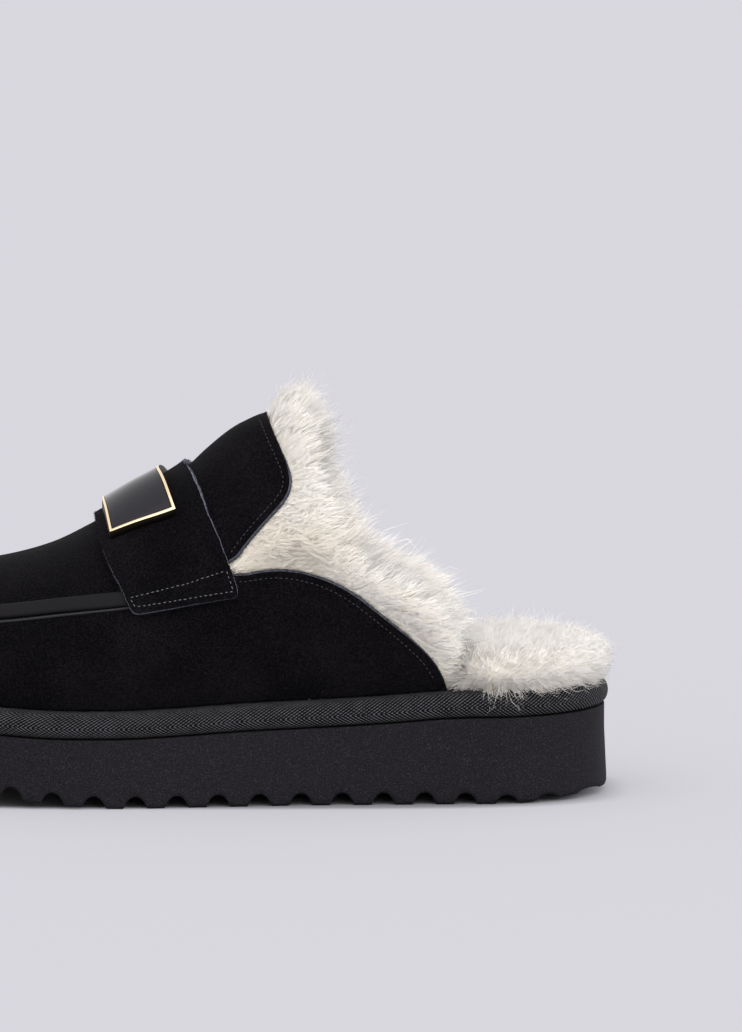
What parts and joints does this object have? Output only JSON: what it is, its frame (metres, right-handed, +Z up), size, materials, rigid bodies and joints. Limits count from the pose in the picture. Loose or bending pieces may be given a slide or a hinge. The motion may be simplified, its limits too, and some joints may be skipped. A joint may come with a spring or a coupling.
{
  "type": "platform clog slipper",
  "caption": "Backless platform loafer slipper in black suede with a saddle strap, a curved metal plaque, a sheepskin lining and a grooved foam sole.",
  "frame": {"origin": "on the floor, under the middle of the sole's length and width", "axes": "+Z up, the toe towards -X and the open heel towards +X, the outer side of this left shoe towards -Y"},
  "size_m": [0.2702, 0.1043, 0.1407],
  "materials": {
    "foam": "matt charcoal moulded foam with a fine speckle",
    "woven_tape": "black herringbone tape with a slight sheen",
    "sheepskin": "cream sheepskin, long soft pile",
    "suede": "black suede with a short nap",
    "smooth_leather": "smooth charcoal leather, soft gloss",
    "pale_gold": "polished pale gold plating",
    "enamel": "glossy dark grey enamel"
  },
  "bodies": {
    "root": {"platform_sole": "foam", "wrapped_midsole": "woven_tape", "footbed_fleece": "sheepskin", "upper": "suede", "lining_fleece": "sheepskin", "apron_trim": "smooth_leather", "saddle_strap": "suede", "plaque_frame": "pale_gold", "plaque_inlay": "enamel"}
  },
  "joints": []
}
